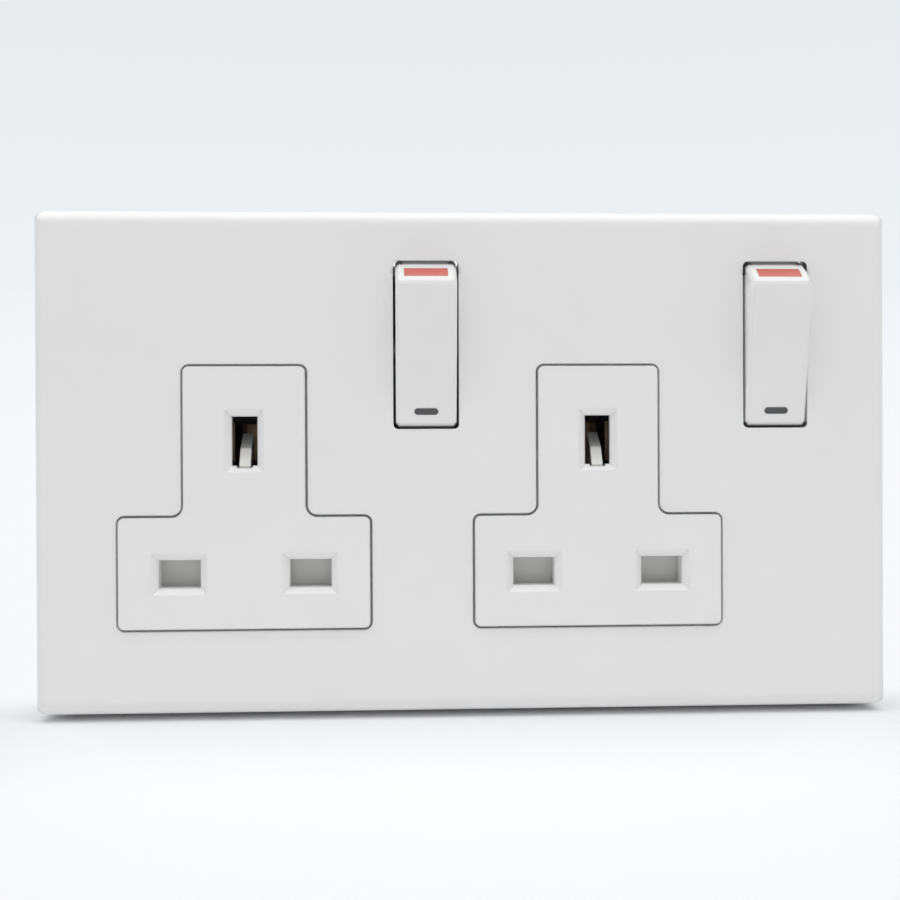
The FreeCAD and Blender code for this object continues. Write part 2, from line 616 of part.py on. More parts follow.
def shutter(x):
    """A plate behind the line slots, with a fin that the earth pin pushes down: a steep nose, then a ramp."""
    y = (SHUTTER_FRONT_Y, SHUTTER_BACK_Y)
    half = shutter_half_width()
    plate = centred(x, 2 * half, y, LINE_Z, LINE_SLOT[1] + 2 * SHUTTER_LAP)
    stem_top = FIN_FOOT_Z - FIN_STEM_DROP
    stem = block((x - STEM_WIDTH / 2, x + STEM_WIDTH / 2), y, (LINE_Z, stem_top))
    fin_y = T_FACE_Y + FIN_DEPTH
    lean, rise = FIN_NOSE
    fin = [(fin_y, FIN_FOOT_Z), (fin_y + lean, FIN_FOOT_Z + rise), (SHUTTER_BACK_Y, FIN_TOP_Z)]
    fin += [(SHUTTER_BACK_Y, stem_top), (SHUTTER_FRONT_Y, stem_top), (fin_y, FIN_FOOT_Z - FIN_FOOT_LENGTH)]
    body = joined([plate, stem, prism_x(fin, (x - FIN_WIDTH / 2, x + FIN_WIDTH / 2))])
    notch = (LINE_Z - LINE_SLOT[1], shutter_spring_top())
    room = SHUTTER_SPRING_RADIUS + SHUTTER_SPRING_ROOM
    return body.cut(block((x - room, x + room), y, notch))


def shutter_spring_top():
    """Where a shutter's spring presses up on it."""
    return LINE_Z + SHUTTER_SPRING_SEAT


def shutter_spring(x):
    """The space that a shutter's coil spring fills."""
    z = (T_BOTTOM_Z + LEDGE_SIZE[1], shutter_spring_top())
    middle = (SHUTTER_FRONT_Y + SHUTTER_BACK_Y) / 2
    return prism_z([(x + a, middle + b) for a, b in octagon(SHUTTER_SPRING_RADIUS)], z)


def about_pivot(shape, x, tilt):
    """A rocker piece modelled square to the plate, moved to its pivot and tilted."""
    shape = shape.copy()
    shape.rotate(FreeCAD.Vector(0, 0, 0), X_AXIS, tilt)
    shape.translate(FreeCAD.Vector(x, PIVOT_Y, ROCKER_Z))
    return shape


def flag_sector(radius, angle, width):
    """A curved strip on the rocker's top end, around the pivot, square to the plate."""
    inner_radius, outer_radius = radius
    ring = cross_rod(outer_radius, (-width / 2, width / 2), 0, 0)
    ring = ring.cut(cross_rod(inner_radius, (-width / 2, width / 2), 0, 0))
    far = 2 * outer_radius
    wedge = [(0, 0)] + [(-far * math.cos(a), far * math.sin(a)) for a in map(math.radians, angle)]
    return ring.common(prism_x(wedge, (-width, width)))


def mark():
    """The pill-shaped mark in the rocker's face, near its lower edge."""
    radius = MARK_SIZE[1] / 2
    half = (MARK_SIZE[0] - MARK_SIZE[1]) / 2
    y = (-ROCKER_FACE_REACH, -ROCKER_FACE_REACH + MARK_THICKNESS)
    solids = [centred(0, 2 * half, y, MARK_Z, 2 * radius)]
    solids += [rod(radius, side * half, y, MARK_Z) for side in (-1, 1)]
    return joined(solids)


def rocker(x):
    """A hollow rocker with a flat face, ends curved about the pivot, trunnions and a plunger post."""
    half = ROCKER_WIDTH / 2
    y = (-ROCKER_FACE_REACH, ROCKER_REAR_REACH)
    drum = cross_rod(ROCKER_RADIUS, (-half, half), 0, 0)
    body = drum.common(centred(0, ROCKER_WIDTH, y, 0, 3 * ROCKER_RADIUS))
    body = body.makeChamfer(ROCKER_CORNER_CHAMFER, end_arcs(body))
    body = body.makeChamfer(ROCKER_EDGE_CHAMFER, edges_at_y(body, -ROCKER_FACE_REACH))
    room = half - ROCKER_WALL
    hollow = cross_rod(ROCKER_RADIUS - ROCKER_WALL, (-room, room), 0, 0)
    deep = (-ROCKER_FACE_REACH + ROCKER_WALL, ROCKER_REAR_REACH)
    body = body.cut(hollow.common(centred(0, 2 * room, deep, 0, 3 * ROCKER_RADIUS)))
    lug = (-ROCKER_WALL + ROCKER_REAR_REACH, ROCKER_LUG_REACH)
    for side in (-1, 1):
        wall = sorted((side * room, side * half))
        body = body.fuse(block(wall, lug, (-ROCKER_LUG_HALF, ROCKER_LUG_HALF)))
    reach = CHEEK_INNER + CHEEK_WALL
    for side in (-1, 1):
        body = body.fuse(cross_rod(TRUNNION_RADIUS, sorted((side * room, side * reach)), 0, 0))
    post = 2 * (PLUNGER_RADIUS + POST_WALL)
    body = body.fuse(centred(0, post, (deep[0], POST_REACH), 0, post))
    body = body.cut(rod(PLUNGER_RADIUS + PLUNGER_FIT, 0, (ROCKER_SPRING_START, POST_REACH), 0))
    depth = (ROCKER_RADIUS - FLAG_THICKNESS, ROCKER_RADIUS + FLAG_THICKNESS)
    body = body.cut(flag_sector(depth, FLAG_ANGLES, FLAG_WIDTH))
    body = body.cut(mark())
    return about_pivot(body.removeSplitter(), x, ROCKER_TILT)


def on_flag(x):
    """The red insert that shows above the plate while the switch is on."""
    depth = (ROCKER_RADIUS - FLAG_THICKNESS, ROCKER_RADIUS)
    return about_pivot(flag_sector(depth, FLAG_ANGLES, FLAG_WIDTH), x, ROCKER_TILT)


def pill_mark(x):
    """The dark insert near the rocker's lower edge."""
    return about_pivot(mark(), x, ROCKER_TILT)


def plunger(x):
    """The spring-loaded pin that presses the contact arm, with a blade tip rounded across."""
    shank = rod(PLUNGER_RADIUS, 0, PLUNGER_SHANK, 0)
    half = PLUNGER_TIP_WIDTH / 2
    blade = centred(0, 2 * half, (PLUNGER_SHANK[1], PLUNGER_REACH), 0, 2 * PLUNGER_TIP_RADIUS)
    tip = cross_rod(PLUNGER_TIP_RADIUS, (-half, half), PLUNGER_REACH, 0)
    return about_pivot(joined([shank, blade, tip]), x, ROCKER_TILT)


def rocker_spring(x):
    """The space that the plunger's coil spring fills, inside the rocker's post."""
    y = (ROCKER_SPRING_START, PLUNGER_START)
    return about_pivot(prism_y(octagon(PLUNGER_RADIUS - ROCKER_SPRING_ROOM), y), x, ROCKER_TILT)


def about_arm_axis(shape, x):
    """A contact arm piece modelled upright, moved to its axis and tilted as the rocker holds it."""
    shape = shape.copy()
    shape.rotate(FreeCAD.Vector(0, 0, 0), X_AXIS, -ARM_TILT)
    shape.translate(FreeCAD.Vector(x, ARM_AXIS_Y, ROCKER_Z))
    return shape


def contact_arm(x):
    """The see-saw bar that carries the moving contact."""
    half = ARM_THICKNESS / 2
    bar = block((-ARM_WIDTH / 2, ARM_WIDTH / 2), (-half, half), (-ARM_LOWER_REACH, ARM_UPPER_REACH))
    return about_arm_axis(bar, x)


def moving_tip(x):
    """The square silver tip at the top of the contact arm."""
    y = (ARM_THICKNESS / 2, ARM_THICKNESS / 2 + TIP_THICKNESS)
    return about_arm_axis(centred(0, TIP_WIDTH, y, TIP_REACH, TIP_WIDTH), x)


def fixed_tips():
    """The square silver tips on the feed strap that the moving tips close on."""
    y = (FIXED_TIP_Y, FEED_STRAP_Y)
    width, z = TIP_WIDTH + 2 * FIXED_TIP_MARGIN, ROCKER_Z + TIP_REACH
    return Part.makeCompound([centred(x, width, y, z, width) for x in ROCKERS.values()])


def clip_points(mouth, base):
    """The closed outline of a two-leaf clip: (depth, distance from the pin's middle) points."""
    waist = mouth + CLIP_WAIST * (base - mouth)
    leaf = [(mouth, CLIP_ROOM + CLIP_FLARE), (waist, CLIP_GRIP), (base, CLIP_ROOM)]
    inner = leaf + [(d, -a) for d, a in reversed(leaf)]
    outer = [(d + (METAL_THICKNESS if d == base else 0), a + LEAF) for d, a in leaf]
    return inner + [(d, -a) for d, a in outer] + list(reversed(outer))


def line_contact(x):
    """A brass clip whose leaves grip a flat pin from above and below."""
    points = clip_points(SHUTTER_BACK_Y + LINE_CLIP_GAP, LINE_STRAP_Y - METAL_THICKNESS)
    outline = [(d, LINE_Z + a) for d, a in points]
    return prism_x(outline, (x - LINE_CLIP_WIDTH / 2, x + LINE_CLIP_WIDTH / 2))


def earth_contact(x):
    """A brass clip whose leaves grip the earth pin from both sides."""
    points = clip_points(SHUTTER_BACK_Y + EARTH_CLIP_GAP, EARTH_STRAP_Y - METAL_THICKNESS)
    half = EARTH_CLIP_WIDTH / 2
    return prism_z([(x + a, d) for d, a in points], (EARTH_Z - half, EARTH_Z + half))


def neutral_run_z():
    """The middle height of the neutral strap's long run, which crosses the neutral terminal's face."""
    return TERMINAL_TOP_Z - NEUTRAL_RUN_DROP + STRAP_WIDTH / 2


def neutral_strap():
    """The brass strip that joins both neutral clips to the neutral terminal."""
    y = (LINE_STRAP_Y, LINE_STRAP_Y + METAL_THICKNESS)
    half = STRAP_WIDTH / 2
    left, right = NEUTRAL_PINS["left"] - half, NEUTRAL_PINS["right"] + half
    low = neutral_run_z() - half
    strips = [block((left, right), y, (low, low + STRAP_WIDTH))]
    for x in NEUTRAL_PINS.values():
        strips.append(block((x - half, x + half), y, (low, LINE_Z + half)))
    return joined(strips)


def live_carrier(side):
    """The brass strip from a live clip to the ridge that its contact arm rocks on."""
    y = (LINE_STRAP_Y, LINE_STRAP_Y + METAL_THICKNESS)
    half = STRAP_WIDTH / 2
    start, end = LIVE_PINS[side], ROCKERS[side]
    riser = block((start - half, start + half), y, (LINE_Z - half, ROCKER_Z + half))
    run = block((start - half, end + half), y, (ROCKER_Z - half, ROCKER_Z + half))
    tip = ARM_AXIS_Y + ARM_THICKNESS / 2 + PLUNGER_GAP
    foot = (ROCKER_Z - RIDGE_HALF, ROCKER_Z + RIDGE_HALF)
    ridge = [(tip, ROCKER_Z), (LINE_STRAP_Y, foot[1]), (LINE_STRAP_Y, foot[0])]
    return joined([riser, run, prism_x(ridge, (end - ARM_WIDTH / 2, end + ARM_WIDTH / 2))])


def live_feed_strap():
    """The brass strip from the live terminal to both fixed tips."""
    y = (FEED_STRAP_Y, FEED_STRAP_Y + METAL_THICKNESS)
    half = STRAP_WIDTH / 2
    z = (ROCKER_Z + TIP_REACH - half, ROCKER_Z + TIP_REACH + half)
    run = block((ROCKERS["left"] - half, ROCKERS["right"] + half), y, z)
    drop = block((TERMINALS["live"] - half, TERMINALS["live"] + half), y, (TERMINAL_TOP_Z, z[1]))
    return joined([run, drop])


def earth_strap():
    """The brass strip that joins both earth clips to the two earth terminals."""
    y = (EARTH_STRAP_Y, EARTH_STRAP_Y + METAL_THICKNESS)
    half = STRAP_WIDTH / 2
    z = (EARTH_Z - half, EARTH_Z + half)
    strips = [block((SOCKETS["left"] - half, TERMINALS["earth_right"] + half), y, z)]
    for name in ("earth_left", "earth_right"):
        x = TERMINALS[name]
        strips.append(block((x - half, x + half), y, (TERMINAL_TOP_Z, z[1])))
    return joined(strips)


def terminal(x, front_y):
    """A brass terminal block with a wire bore from below and a tapped hole from behind."""
    z = (TERMINAL_BOTTOM_Z, TERMINAL_TOP_Z)
    body = block((x - TERMINAL_SIZE / 2, x + TERMINAL_SIZE / 2), (front_y, FLOOR_Y), z)
    bore = (TERMINAL_BOTTOM_Z, TERMINAL_BOTTOM_Z + WIRE_BORE_DEPTH)
    body = body.cut(upright_rod(WIRE_BORE_RADIUS, x, WIRE_BORE_Y, bore))
    return body.cut(rod(TERMINAL_SCREW_RADIUS, x, (WIRE_BORE_Y, FLOOR_Y), TERMINAL_Z))


def terminal_screws():
    """Four slotted terminal screws, backed out of the wire bores as they are sold."""
    screws = []
    for x in TERMINALS.values():
        y = (WIRE_BORE_Y + WIRE_BORE_RADIUS, HOUSING_DEPTH - TERMINAL_SCREW_SUNK)
        screw = rod(TERMINAL_SCREW_RADIUS, x, y, TERMINAL_Z)
        slot = (y[1] - SCREW_SLOT[1], y[1])
        screws.append(screw.cut(centred(x, 2 * TERMINAL_SCREW_RADIUS, slot, TERMINAL_Z, SCREW_SLOT[0])))
    return Part.makeCompound(screws)


def save(name, shape):
    """Write one piece to its own file."""
    shape.exportStep("parts/" + name + ".step")


def main():
    os.makedirs("parts", exist_ok=True)
    save("cover_plate", cover_plate())
    save("front_moulding", front_moulding())
    save("rear_housing", rear_housing())
    save("housing_screws", housing_screws())
    save("neutral_strap", neutral_strap())
    save("live_feed_strap", live_feed_strap())
    save("earth_strap", earth_strap())
    save("fixed_tips", fixed_tips())
    save("terminal_screws", terminal_screws())
    for name, x in TERMINALS.items():
        front = LINE_STRAP_Y + METAL_THICKNESS if name == "neutral" else FEED_STRAP_Y
        save("terminal_" + name, terminal(x, front))
    for side, x in SOCKETS.items():
        switch_x = ROCKERS[side]
        save("earth_contact_" + side, earth_contact(x))
        save("neutral_contact_" + side, line_contact(NEUTRAL_PINS[side]))
        save("live_contact_" + side, line_contact(LIVE_PINS[side]))
        save("live_carrier_" + side, live_carrier(side))
        save("shutter_" + side, shutter(x))
        save("shutter_spring_" + side, shutter_spring(x))
        save("rocker_" + side, rocker(switch_x))
        save("on_flag_" + side, on_flag(switch_x))
        save("pill_mark_" + side, pill_mark(switch_x))
        save("plunger_" + side, plunger(switch_x))
        save("rocker_spring_" + side, rocker_spring(switch_x))
        save("contact_arm_" + side, contact_arm(switch_x))
        save("moving_tip_" + side, moving_tip(switch_x))


main()
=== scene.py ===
import bpy
import json
import math
import numpy as np
from mathutils import Matrix, Vector


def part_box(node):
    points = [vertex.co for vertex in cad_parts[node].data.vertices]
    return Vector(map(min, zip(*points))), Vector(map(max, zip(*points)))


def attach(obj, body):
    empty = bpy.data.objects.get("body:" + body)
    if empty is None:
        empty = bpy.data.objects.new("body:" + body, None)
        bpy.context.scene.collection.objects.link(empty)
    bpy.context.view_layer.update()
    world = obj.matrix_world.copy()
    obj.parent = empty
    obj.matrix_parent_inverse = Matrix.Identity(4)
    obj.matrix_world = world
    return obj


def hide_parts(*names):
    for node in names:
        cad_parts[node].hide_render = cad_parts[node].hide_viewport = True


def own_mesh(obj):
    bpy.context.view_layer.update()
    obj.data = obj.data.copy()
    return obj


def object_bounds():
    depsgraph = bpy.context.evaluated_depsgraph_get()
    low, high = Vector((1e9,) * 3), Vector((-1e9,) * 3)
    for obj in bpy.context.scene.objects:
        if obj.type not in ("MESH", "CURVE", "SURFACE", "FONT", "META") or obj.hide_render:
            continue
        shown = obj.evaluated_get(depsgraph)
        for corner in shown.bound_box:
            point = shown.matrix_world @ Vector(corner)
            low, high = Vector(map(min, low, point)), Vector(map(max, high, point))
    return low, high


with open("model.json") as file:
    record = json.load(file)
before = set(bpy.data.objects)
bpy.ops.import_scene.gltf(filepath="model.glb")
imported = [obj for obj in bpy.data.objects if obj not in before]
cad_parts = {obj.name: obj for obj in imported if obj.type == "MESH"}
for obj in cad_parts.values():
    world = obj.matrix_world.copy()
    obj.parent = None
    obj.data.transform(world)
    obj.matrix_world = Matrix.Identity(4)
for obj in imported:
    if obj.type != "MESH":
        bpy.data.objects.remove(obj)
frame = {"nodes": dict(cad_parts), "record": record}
cad_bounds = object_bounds()

MM = 0.001
SIDES = ("left", "right")

# The photograph's camera: metres, degrees and the picture's side in pixels
PICTURE_SIDE = 900
FOCAL_PIXELS = 1230.0
CAMERA_PLACE = (-12.4 * MM, -220.1 * MM, 2.82 * MM)
CAMERA_YAW = 2.62
CAMERA_PITCH = -0.24
CAMERA_ROLL = -0.25
CAMERA_NEAR = 5 * MM
SENSOR = 36.0

# The room: light levels by the Y of a direction, and the heights between which the pale wall fades
ROOM_LEVELS = ((-1.0, 0.30), (-0.6, 0.56), (-0.2, 1.28), (0.4, 0.20))
WALL_HEIGHTS = (0.13, 0.34)
WALL_LOW = (0.855, 0.885, 0.910)
WALL_HIGH = (0.800, 0.830, 0.855)

# The overhead lamp, in metres and watts
LAMP_PLACE = (0.0, -0.15, 0.9)
LAMP_SIZE = (1.2, 0.9)
LAMP_POWER = 6.5

# The table slopes, as the plate tips back a little on it, and meets the plate's rear bottom edge
TABLE_EDGE_Y = -0.3 * MM
TABLE_SLOPE = 0.13
TABLE_REACH = 40.0
TABLE_CELLS = 40
TABLE_WHITE = (0.786, 0.794, 0.808)
TABLE_BOUNCE = (0.965, 0.968, 0.975)
TABLE_ROUGHNESS = 0.6
TABLE_SPECULAR = 0.2

# The table's glow: where it starts and is full with distance, beside the object and behind its front
GLOW_AWAY = (0.15, 0.5)
GLOW_BESIDE = (66 * MM, 80 * MM)
GLOW_BEHIND = (-10 * MM, 6 * MM)
GLOW_NEAR = (0.935, 0.943, 0.962)
GLOW_FAR = (0.870, 0.880, 0.915)
GLOW_HALFWAY = 1.6
GLOW_FADE = (0.15, 1.0)

# Colours, linear
WHITE = (0.800, 0.797, 0.797)
HOUSING_WHITE = (0.70, 0.70, 0.68)
# Painted light, mixed in where gaps are narrow
GAP_PAINTED_LIGHT = (0.975, 0.973, 0.970)
# Painted shade on a rocker's sloped top end
END_PAINTED_SHADE = (0.700, 0.697, 0.690)
FLAG_RED = (0.50, 0.082, 0.058)
MARK_GREY = (0.070, 0.070, 0.072)
SHUTTER_GREY = (0.62, 0.625, 0.60)
# Painted light on the front of a fin
NOSE_PAINTED_LIGHT = (0.78, 0.775, 0.74)
NATURAL = (0.60, 0.60, 0.56)
BRASS = (0.62, 0.42, 0.19)
AGED_BRASS = (0.40, 0.30, 0.19)
SILVER = (0.78, 0.78, 0.76)
ZINC = (0.58, 0.58, 0.60)

# Radii of softened edges, and where the cover's rim softens, measured inwards from its outside
FINE_EDGE = 0.08 * MM
PLAIN_EDGE = 0.25 * MM
ROCKER_EDGE = 0.4 * MM
FACE_EDGE = 0.5 * MM
RIM_EDGE = 1.5 * MM
RIM_START = 4.0 * MM
RIM_FULL = 1.5 * MM

# Plastics by slot: name, colour, roughness, grain per metre, depth of the skin and radius of the edges
PLASTICS = {
    "cover_plate": ("white_cover", WHITE, 0.36, 1800.0, 0.004 * MM, PLAIN_EDGE),
    "front_moulding": ("white_moulding", WHITE, 0.36, 1800.0, 0.004 * MM, FACE_EDGE),
    "rocker": ("white_rocker", WHITE, 0.32, 1800.0, 0.003 * MM, ROCKER_EDGE),
    "rear_housing": ("housing_plastic", HOUSING_WHITE, 0.5, 900.0, 0.02 * MM, PLAIN_EDGE),
    "on_flag": ("red_insert", FLAG_RED, 0.3, 1200.0, 0.004 * MM, PLAIN_EDGE),
    "pill_mark": ("dark_insert", MARK_GREY, 0.4, 1200.0, 0.004 * MM, FINE_EDGE),
    "shutter": ("shutter_plastic", SHUTTER_GREY, 0.45, 900.0, 0.01 * MM, PLAIN_EDGE),
    "plunger": ("natural_plastic", NATURAL, 0.4, 900.0, 0.01 * MM, PLAIN_EDGE),
}
PLASTIC_MOTTLE = (60.0, 0.008)
PLASTIC_SHEEN = (90.0, -0.04, 0.04)

# Metals by slot: name, colour and roughness
METALS = {
    "contact_brass": ("contact_brass", AGED_BRASS, 0.38),
    "terminal_brass": ("terminal_brass", BRASS, 0.4),
    "contact_tip": ("silver_tip", SILVER, 0.3),
    "steel_screw": ("zinc_plate", ZINC, 0.32),
    "spring_steel": ("spring_wire", ZINC, 0.3),
}
METAL_MOTTLE = (400.0, 0.12)
METAL_SHEEN = (250.0, -0.08, 0.12)
METAL_GRAIN = 3000.0
METAL_SKIN = 0.01 * MM

# Noise: levels of detail, and the part of its range that is spread out
MOTTLE_DETAIL = 4.0
MOTTLE_RANGE = (0.35, 0.65)
SHEEN_DETAIL = 3.0
SHEEN_RANGE = (0.3, 0.7)
SKIN_DETAIL = 2.0

# Rays that a material sends out to find gaps and edges
SHADE_SAMPLES = 4

# Painted light in narrow gaps, which are drawn paler where other surfaces close in
PAINTED_GAP_REACH = 0.6 * MM
PAINTED_GAP_OPENNESS = (0.35, 0.85)

# Painted shade in the gap under a rocker and at its opening's top corners, placed from the rocker's pivot
CREVICE_REACH = 1.2 * MM
CREVICE_PAINTED_SHADE = 0.15
CREVICE_OPENNESS = (0.30, 0.95)
CREVICE_FLATNESS = 10
CREVICE_LENGTH = 9 * MM
CREVICE_CORNER = 1.6 * MM
ROCKER_GAP_DROP = 14.05 * MM
ROCKER_CORNER = (5.5 * MM, 13.7 * MM)

# Where the painted light on a fin's nose starts and ends, and the painted shade on a rocker's sloped top
# end, above its pivot
LIT_NOSE_DEPTHS = (-6.7 * MM, -7.0 * MM)
SHADED_END_HEIGHTS = (9.9 * MM, 10.7 * MM)

# Coil springs
SHUTTER_SPRING_WIRE = 0.3 * MM
SHUTTER_SPRING_TURNS = 9
ROCKER_SPRING_WIRE = 0.28 * MM
ROCKER_SPRING_TURNS = 7
ROCKER_SPRING_REACH = (-4.0 * MM, 0.5 * MM)
ROCKER_SPRING_RADIUS = 1.15 * MM
SPRING_STEPS = 24
WIRE_SIDES = 8


def joint_named(name):
    """One joint of the record."""
    return next(joint for joint in frame["record"]["behaviour"]["joints"] if joint["name"] == name)


def scene_settings():
    """Plain colour management, with no look applied."""
    bpy.context.scene.view_settings.view_transform = "Standard"


def make_camera():
    """A camera at the photograph's place, aimed by yaw, pitch and roll from straight ahead."""
    yaw, pitch, roll = (math.radians(a) for a in (CAMERA_YAW, CAMERA_PITCH, CAMERA_ROLL))
    forward = Vector((math.sin(yaw) * math.cos(pitch), math.cos(yaw) * math.cos(pitch), math.sin(pitch)))
    level = Vector((math.cos(yaw), -math.sin(yaw), 0.0))
    rise = level.cross(forward)
    right = level * math.cos(roll) + rise * math.sin(roll)
    up = rise * math.cos(roll) - level * math.sin(roll)
    data = bpy.data.cameras.new("camera")
    data.sensor_width = SENSOR
    data.lens = SENSOR * FOCAL_PIXELS / PICTURE_SIDE
    data.clip_start = CAMERA_NEAR
    camera = bpy.data.objects.new("camera", data)
    turn = Matrix((right, up, -forward)).transposed()
    camera.matrix_world = Matrix.Translation(CAMERA_PLACE) @ turn.to_4x4()
    bpy.context.scene.collection.objects.link(camera)
    bpy.context.scene.camera = camera


def make_lamp():
    """A soft rectangular lamp overhead that faces the origin."""
    data = bpy.data.lights.new("overhead", "AREA")
    data.shape = "RECTANGLE"
    data.size, data.size_y = LAMP_SIZE
    data.energy = LAMP_POWER
    lamp = bpy.data.objects.new("overhead", data)
    turn = (-Vector(LAMP_PLACE)).to_track_quat("-Z", "Y").to_matrix()
    lamp.matrix_world = Matrix.Translation(LAMP_PLACE) @ turn.to_4x4()
    bpy.context.scene.collection.objects.link(lamp)


def add_node(tree, kind, inputs, **settings):
    """A shader node with its settings, then its inputs: each a socket to link or a value."""
    node = tree.nodes.new(kind)
    for name, value in settings.items():
        setattr(node, name, value)
    for key, value in inputs.items():
        if isinstance(value, bpy.types.NodeSocket):
            tree.links.new(value, node.inputs[key])
        else:
            node.inputs[key].default_value = value
    return node


def arithmetic(tree, operation, first, second):
    """The result of one operation on two numbers."""
    return add_node(tree, "ShaderNodeMath", {0: first, 1: second}, operation=operation).outputs["Value"]


def vector_result(tree, operation, result, *vectors):
    """One result, Vector or Value, of an operation on vectors."""
    node = add_node(tree, "ShaderNodeVectorMath", dict(enumerate(vectors)), operation=operation)
    return node.outputs[result]


def along(tree, vector, axis):
    """A vector's share along X, Y or Z."""
    return add_node(tree, "ShaderNodeSeparateXYZ", {"Vector": vector}).outputs[axis]


def object_place(tree):
    """The place on the object, in its own frame."""
    return tree.nodes.new("ShaderNodeTexCoord").outputs["Object"]


def spread(tree, value, limits, results=(0.0, 1.0), curve="LINEAR"):
    """A value carried from between two limits to between two results."""
    inputs = {"Value": value, "From Min": limits[0], "From Max": limits[1]}
    inputs.update({"To Min": results[0], "To Max": results[1]})
    return add_node(tree, "ShaderNodeMapRange", inputs, interpolation_type=curve).outputs["Result"]


def ramp_between(tree, value, limits, colours):
    """A colour that changes from one to another between two limits of a value."""
    ramp = add_node(tree, "ShaderNodeValToRGB", {"Fac": value})
    for stop, position, colour in zip(ramp.color_ramp.elements, limits, colours):
        stop.position = position
        stop.color = (*colour, 1.0)
    return ramp.outputs["Color"]


def colour_mix(tree, factor, first, second, blend="MIX"):
    """Two colours mixed by a factor."""
    inputs = {"Factor": factor, "A": first, "B": second}
    mix = add_node(tree, "ShaderNodeMix", inputs, data_type="RGBA", blend_type=blend)
    return mix.outputs["Result"]


def openness(tree, reach):
    """One on an open surface, falling to zero where other surfaces close in within reach."""
    node = add_node(tree, "ShaderNodeAmbientOcclusion", {"Distance": reach}, samples=SHADE_SAMPLES)
    return node.outputs["AO"]


def grey(level):
    """A grey without hue."""
    return (level, level, level)


def make_room():
    """The light of a white room, whose level changes from the camera's side (Y = -1) to the far side.

    The camera and shiny things see a pale wall that fades upwards."""
    world = bpy.data.worlds.new("room")
    world.use_nodes = True
    tree = world.node_tree
    direction = tree.nodes.new("ShaderNodeTexCoord").outputs["Generated"]
    share = spread(tree, along(tree, direction, "Y"), (-1.0, 1.0))
    levels = add_node(tree, "ShaderNodeValToRGB", {"Fac": share})
    stops = levels.color_ramp.elements
    stops.remove(stops[1])
    stops[0].color = (*grey(ROOM_LEVELS[0][1]), 1.0)
    for depth, level in ROOM_LEVELS[1:]:
        stops.new((depth + 1) / 2).color = (*grey(level), 1.0)
    light = tree.nodes["Background"]
    light.inputs["Color"].default_value = (*grey(1.0), 1.0)
    tree.links.new(levels.outputs["Color"], light.inputs["Strength"])
    wall_colour = ramp_between(tree, along(tree, direction, "Z"), WALL_HEIGHTS, (WALL_LOW, WALL_HIGH))
    wall = add_node(tree, "ShaderNodeBackground", {"Color": wall_colour})
    path = tree.nodes.new("ShaderNodeLightPath")
    seen = arithmetic(tree, "MAXIMUM", path.outputs["Is Camera Ray"], path.outputs["Is Glossy Ray"])
    seen = arithmetic(tree, "MAXIMUM", seen, path.outputs["Is Transmission Ray"])
    inputs = {"Fac": seen, 1: light.outputs["Background"], 2: wall.outputs["Background"]}
    mix = add_node(tree, "ShaderNodeMixShader", inputs)
    tree.links.new(mix.outputs["Shader"], tree.nodes["World Output"].inputs["Surface"])
    bpy.context.scene.world = world


def principled(name, colour, roughness, metallic=0.0):
    """A material with one shader, its constants set on the shader's own sockets."""
    material = bpy.data.materials.new(name)
    material.use_nodes = True
    shader = material.node_tree.nodes["Principled BSDF"]
    shader.inputs["Base Color"].default_value = (*colour, 1.0)
    shader.inputs["Roughness"].default_value = roughness
    shader.inputs["Metallic"].default_value = metallic
    return material, material.node_tree, shader


def object_noise(tree, scale, detail):
    """Noise that is fixed to the object."""
    inputs = {"Vector": object_place(tree), "Scale": scale, "Detail": detail}
    return add_node(tree, "ShaderNodeTexNoise", inputs).outputs["Fac"]


def mottle(tree, shader, colour, scale, amount):
    """Base colour that wanders a little from place to place."""
    dark = [c * (1 - amount) for c in colour]
    light = [min(c * (1 + amount), 1.0) for c in colour]
    noise = object_noise(tree, scale, MOTTLE_DETAIL)
    tree.links.new(ramp_between(tree, noise, MOTTLE_RANGE, (dark, light)), shader.inputs["Base Color"])


def sheen_patches(tree, shader, scale, low, high):
    """Roughness that wanders between two values, as handling leaves it."""
    noise = object_noise(tree, scale, SHEEN_DETAIL)
    tree.links.new(spread(tree, noise, SHEEN_RANGE, (low, high)), shader.inputs["Roughness"])


def skin(tree, shader, scale, depth, edge):
    """A fine bump, in metres, over edges that are softened by a radius."""
    rounding = add_node(tree, "ShaderNodeBevel", {"Radius": edge}, samples=SHADE_SAMPLES)
    inputs = {"Distance": depth, "Height": object_noise(tree, scale, SKIN_DETAIL)}
    inputs["Normal"] = rounding.outputs["Normal"]
    bump = add_node(tree, "ShaderNodeBump", inputs)
    tree.links.new(bump.outputs["Normal"], shader.inputs["Normal"])


def moulded_plastic(name, colour, roughness, grain, depth, edge):
    """A moulded plastic: faint mottling, a fine skin and softened edges."""
    material, tree, shader = principled(name, colour, roughness)
    mottle(tree, shader, colour, *PLASTIC_MOTTLE)
    scale, less, more = PLASTIC_SHEEN
    sheen_patches(tree, shader, scale, roughness + less, roughness + more)
    skin(tree, shader, grain, depth, edge)
    return material


def stamped_metal(name, colour, roughness):
    """Rolled sheet metal with slight stains."""
    material, tree, shader = principled(name, colour, roughness, metallic=1.0)
    mottle(tree, shader, colour, *METAL_MOTTLE)
    scale, less, more = METAL_SHEEN
    sheen_patches(tree, shader, scale, roughness + less, roughness + more)
    skin(tree, shader, METAL_GRAIN, METAL_SKIN, FINE_EDGE)
    return material


def recolour(material, change):
    """Put a change between a material's colour and its shader: change(tree, colour) gives the new one."""
    tree = material.node_tree
    socket = tree.nodes["Principled BSDF"].inputs["Base Color"]
    colour = socket.links[0].from_socket
    tree.links.new(change(tree, colour), socket)


def within(tree, place, scale, reach):
    """One where a point of the object, scaled, is within reach of a place, and zero elsewhere."""
    scaled = vector_result(tree, "MULTIPLY", "Vector", object_place(tree), scale)
    target = [p * s for p, s in zip(place, scale)]
    distance = vector_result(tree, "DISTANCE", "Value", scaled, target)
    return arithmetic(tree, "LESS_THAN", distance, reach)


